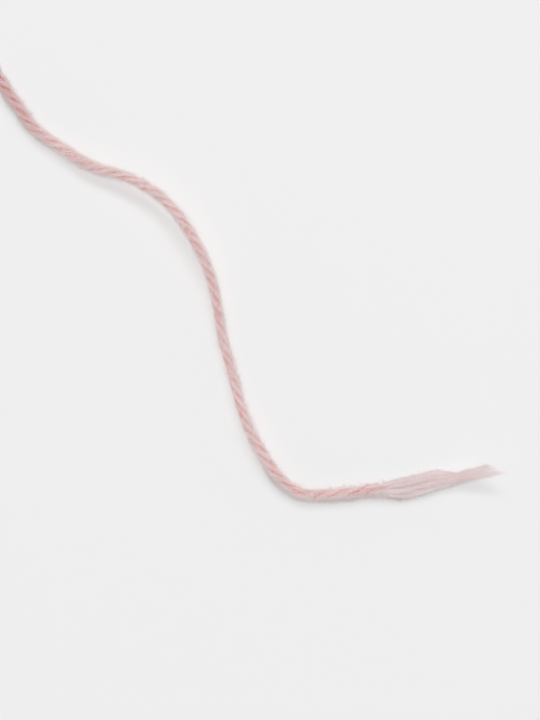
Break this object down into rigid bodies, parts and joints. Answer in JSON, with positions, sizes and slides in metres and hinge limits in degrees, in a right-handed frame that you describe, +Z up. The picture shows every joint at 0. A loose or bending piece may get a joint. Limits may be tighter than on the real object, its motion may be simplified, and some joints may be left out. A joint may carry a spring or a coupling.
{
  "type": "angora yarn, cut length",
  "caption": "Short cut length of soft plied yarn lying in a loose S, one end cut straight, the other untwisting into a frayed tip.",
  "frame": {"origin": "on the surface that the yarn lies on, under the middle of its box", "axes": "+Z up from the surface; +X towards the frayed end, along the longer side of the box the strand lies in; +Y towards the straight-cut end"},
  "size_m": [0.1073, 0.0916, 0.0052],
  "materials": {
    "angora": "brushed, fuzzy, matt"
  },
  "bodies": {
    "root": {"yarn_strand": "angora"}
  },
  "joints": []
}
